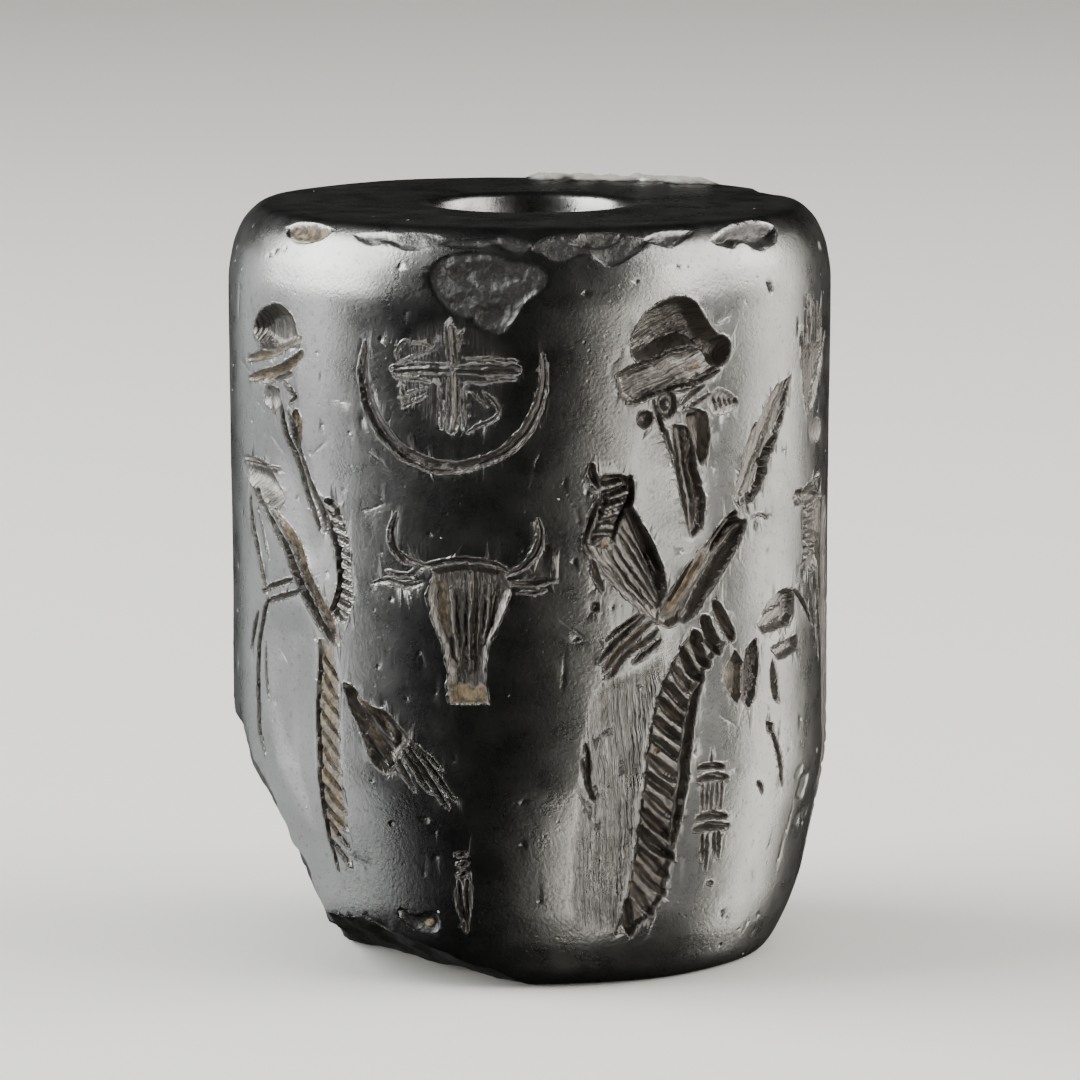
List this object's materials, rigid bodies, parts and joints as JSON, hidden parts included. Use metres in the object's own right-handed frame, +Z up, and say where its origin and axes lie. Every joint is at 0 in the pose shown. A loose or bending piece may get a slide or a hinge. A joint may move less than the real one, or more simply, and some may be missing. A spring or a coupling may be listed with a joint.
{
  "type": "cylinder seal",
  "caption": "Small hematite cylinder seal, bored end to end, its wall cut with robed figures, a star in a crescent and a bull's head, the foot broken at one side.",
  "frame": {"origin": "middle of the underside, on the bore's axis", "axes": "+Z up along the bore, -Y towards the viewer of the moon, star and bull's head, +X to that viewer's right"},
  "size_m": [0.015, 0.015, 0.0187],
  "materials": {
    "hematite": "polished steel-grey hematite, its carving duller with buff soil left in it"
  },
  "bodies": {
    "root": {"seal_body": "hematite"}
  },
  "joints": []
}
